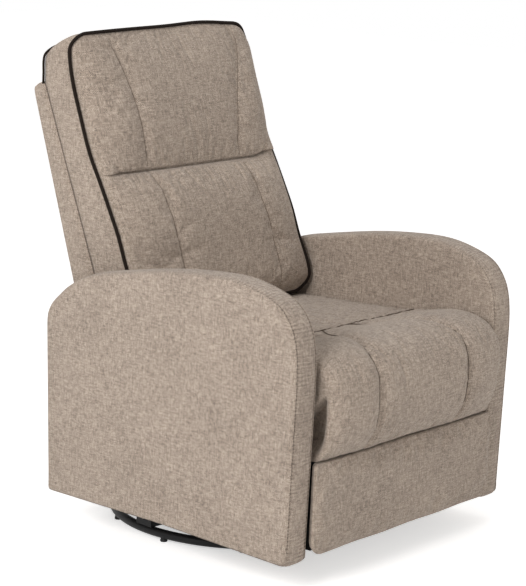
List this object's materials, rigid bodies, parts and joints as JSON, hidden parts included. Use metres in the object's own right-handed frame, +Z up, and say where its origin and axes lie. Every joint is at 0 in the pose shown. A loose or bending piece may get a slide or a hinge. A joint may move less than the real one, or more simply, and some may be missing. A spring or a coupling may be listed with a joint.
{
  "type": "swivel glider recliner",
  "caption": "Upholstered armchair that turns on a ring base, glides on hanging links, reclines by pushing back and opens a folding footrest.",
  "frame": {"origin": "on the floor, under the middle of the chair's outline from above", "axes": "+Z up, the chair faces -Y, +X to the sitter's left"},
  "size_m": [0.724, 0.8424, 1.0261],
  "materials": {
    "cover_fabric": "taupe tweed basket weave, matt",
    "cushion_fabric": "taupe tweed basket weave, matt",
    "piping": "dark brown welt cord, matt",
    "webbing": "woven elastic, matt",
    "plywood": "raw plywood",
    "black_steel": "black powder coat, satin",
    "zinc_steel": "zinc plated, satin"
  },
  "bodies": {
    "base": {"ring_base": "black_steel", "cross_bars": "black_steel", "lower_swivel_plate": "zinc_steel", "swivel_ball_race": "zinc_steel"},
    "turntable": {"upper_swivel_plate": "zinc_steel", "kingpin": "zinc_steel", "glider_base_frame": "black_steel", "front_upper_glide_shaft": "zinc_steel", "rear_upper_glide_shaft": "zinc_steel"},
    "front_glide_links": {"left_front_glide_link": "black_steel", "right_front_glide_link": "black_steel"},
    "rear_glide_links": {"left_rear_glide_link": "black_steel", "right_rear_glide_link": "black_steel"},
    "carriage": {"carriage_frame": "black_steel", "front_lower_glide_shaft": "zinc_steel", "rear_lower_glide_shaft": "zinc_steel", "left_seat_hanger_plate": "black_steel", "right_seat_hanger_plate": "black_steel", "front_rail": "plywood", "rear_apron": "cover_fabric", "left_arm_frame": "plywood", "right_arm_frame": "plywood", "left_arm_outer_cover": "cover_fabric", "right_arm_outer_cover": "cover_fabric", "left_arm_inner_cover": "cover_fabric", "right_arm_inner_cover": "cover_fabric", "left_arm_band": "cover_fabric", "right_arm_band": "cover_fabric"},
    "front_swing_links": {"left_front_swing_link": "zinc_steel", "right_front_swing_link": "zinc_steel"},
    "rear_swing_links": {"left_rear_swing_link": "zinc_steel", "right_rear_swing_link": "zinc_steel"},
    "seat": {"seat_frame": "plywood", "seat_spring_1": "zinc_steel", "seat_spring_2": "zinc_steel", "seat_spring_3": "zinc_steel", "seat_spring_4": "zinc_steel", "seat_cushion": "cushion_fabric", "left_seat_side_plate": "black_steel", "right_seat_side_plate": "black_steel"},
    "footrest_drive_links": {"left_footrest_drive_link": "black_steel", "right_footrest_drive_link": "black_steel"},
    "footrest_cross_links": {"left_footrest_cross_link": "black_steel", "right_footrest_cross_link": "black_steel"},
    "footrest_panel": {"left_footrest_panel_link": "black_steel", "right_footrest_panel_link": "black_steel", "footrest_board": "plywood", "footrest_pad": "cushion_fabric"},
    "footrest_guide_links": {"left_footrest_guide_link": "black_steel", "right_footrest_guide_link": "black_steel"},
    "back": {"back_frame": "plywood", "back_webbing": "webbing", "outside_back_panel": "cover_fabric", "back_cushion": "cushion_fabric", "front_back_piping": "piping", "rear_back_piping": "piping", "left_back_bracket": "black_steel", "right_back_bracket": "black_steel"}
  },
  "joints": [
    {"name": "swivel", "type": "hinge", "parent": "base", "child": "turntable", "pos_m": [0, 0.04515, 0.0456], "axis": [0, 0, 1], "continuous": true},
    {"name": "glide", "type": "hinge", "parent": "turntable", "child": "front_glide_links", "pos_m": [0, -0.08485, 0.235], "axis": [1, 0, 0], "range_deg": [-12, 12]},
    {"name": "glide_rear", "type": "hinge", "parent": "turntable", "child": "rear_glide_links", "pos_m": [0, 0.17515, 0.235], "axis": [1, 0, 0], "range_deg": [-12, 12]},
    {"name": "glide_level", "type": "hinge", "parent": "front_glide_links", "child": "carriage", "pos_m": [0, -0.08485, 0.105], "axis": [1, 0, 0], "range_deg": [-12, 12]},
    {"name": "recline", "type": "hinge", "parent": "carriage", "child": "front_swing_links", "pos_m": [0, -0.16485, 0.328], "axis": [-1, 0, 0], "range_deg": [0, 35]},
    {"name": "recline_rear_link", "type": "hinge", "parent": "carriage", "child": "rear_swing_links", "pos_m": [0, 0.04515, 0.328], "axis": [-1, 0, 0], "range_deg": [0, 35]},
    {"name": "recline_seat_level", "type": "hinge", "parent": "front_swing_links", "child": "seat", "pos_m": [0, -0.16485, 0.238], "axis": [-1, 0, 0], "range_deg": [-35, 0]},
    {"name": "recline_back", "type": "hinge", "parent": "seat", "child": "back", "pos_m": [0, 0.14015, 0.328], "axis": [-1, 0, 0], "range_deg": [0, 35]},
    {"name": "footrest", "type": "hinge", "parent": "seat", "child": "footrest_drive_links", "pos_m": [0, -0.28985, 0.34], "axis": [-1, 0, 0], "range_deg": [0, 72]},
    {"name": "footrest_cross", "type": "hinge", "parent": "footrest_drive_links", "child": "footrest_cross_links", "pos_m": [0, -0.30239, 0.22066], "axis": [-1, 0, 0], "range_deg": [-144, 0]},
    {"name": "footrest_panel_turn", "type": "hinge", "parent": "footrest_cross_links", "child": "footrest_panel", "pos_m": [0, -0.31493, 0.34], "axis": [-1, 0, 0], "range_deg": [0, 144]},
    {"name": "footrest_guide", "type": "hinge", "parent": "footrest_panel", "child": "footrest_guide_links", "pos_m": [0, -0.32748, 0.22066], "axis": [-1, 0, 0], "range_deg": [-144, 0]}
  ],
  "couplings": [
    {"joint": "glide_rear", "follows": "glide", "ratio": 1},
    {"joint": "glide_level", "follows": "glide", "ratio": -1},
    {"joint": "recline_rear_link", "follows": "recline", "ratio": 1},
    {"joint": "recline_seat_level", "follows": "recline", "ratio": -1},
    {"joint": "recline_back", "follows": "recline", "ratio": 1},
    {"joint": "footrest_cross", "follows": "footrest", "ratio": -2},
    {"joint": "footrest_panel_turn", "follows": "footrest", "ratio": 2},
    {"joint": "footrest_guide", "follows": "footrest", "ratio": -2}
  ]
}
